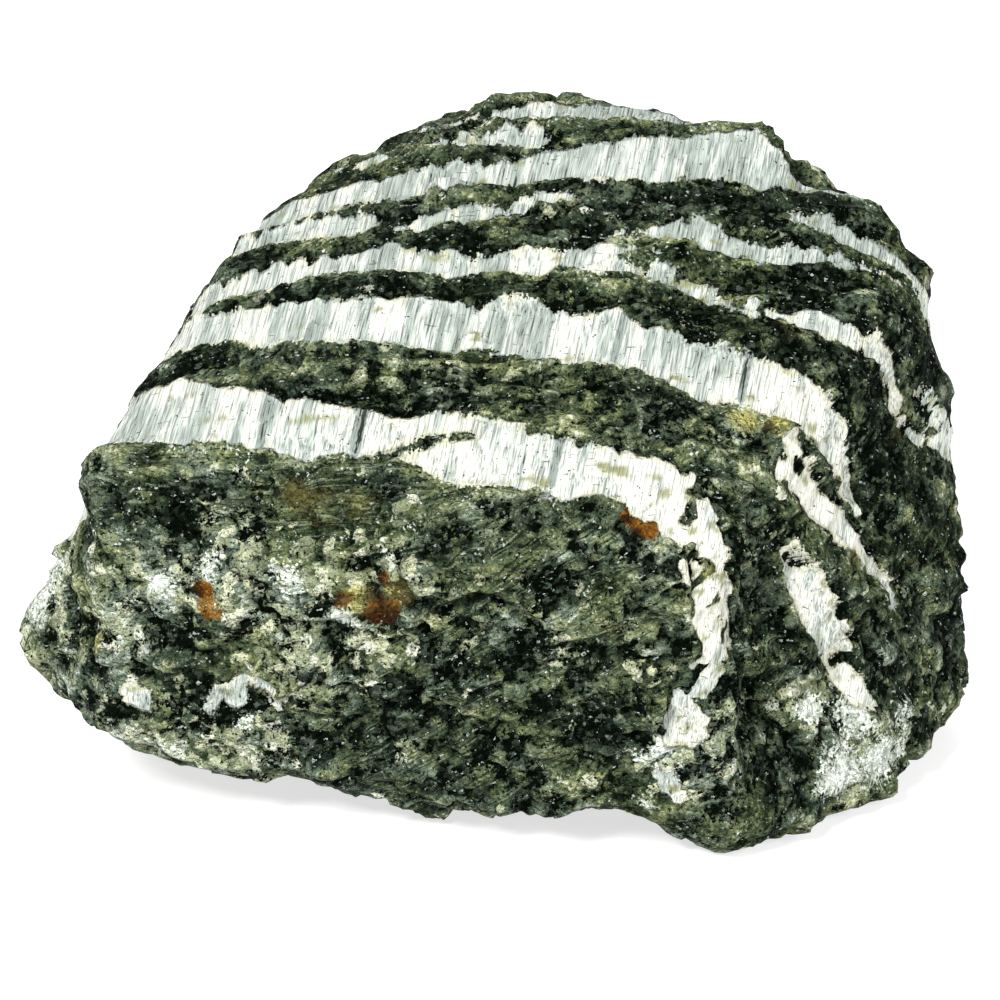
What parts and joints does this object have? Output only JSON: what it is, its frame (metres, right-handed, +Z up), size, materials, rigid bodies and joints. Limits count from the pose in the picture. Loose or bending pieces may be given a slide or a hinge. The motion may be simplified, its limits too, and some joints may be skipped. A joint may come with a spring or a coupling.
{
  "type": "zebra-banded serpentine stone",
  "caption": "Broken lump of dark green-black serpentine rock crossed by cream-white fibre veins, standing on a small flat spot.",
  "frame": {"origin": "centre of the stone's box, at the level of its flat spot", "axes": "+X to the right of someone facing the broad front face, along the white bands; +Y away from them, towards the back; +Z up"},
  "size_m": [0.0728, 0.049, 0.0497],
  "materials": {
    "stone": "broken rock, dark green to black with cream-white silky fibre veins"
  },
  "bodies": {
    "root": {"zebra_stone": "stone"}
  },
  "joints": []
}
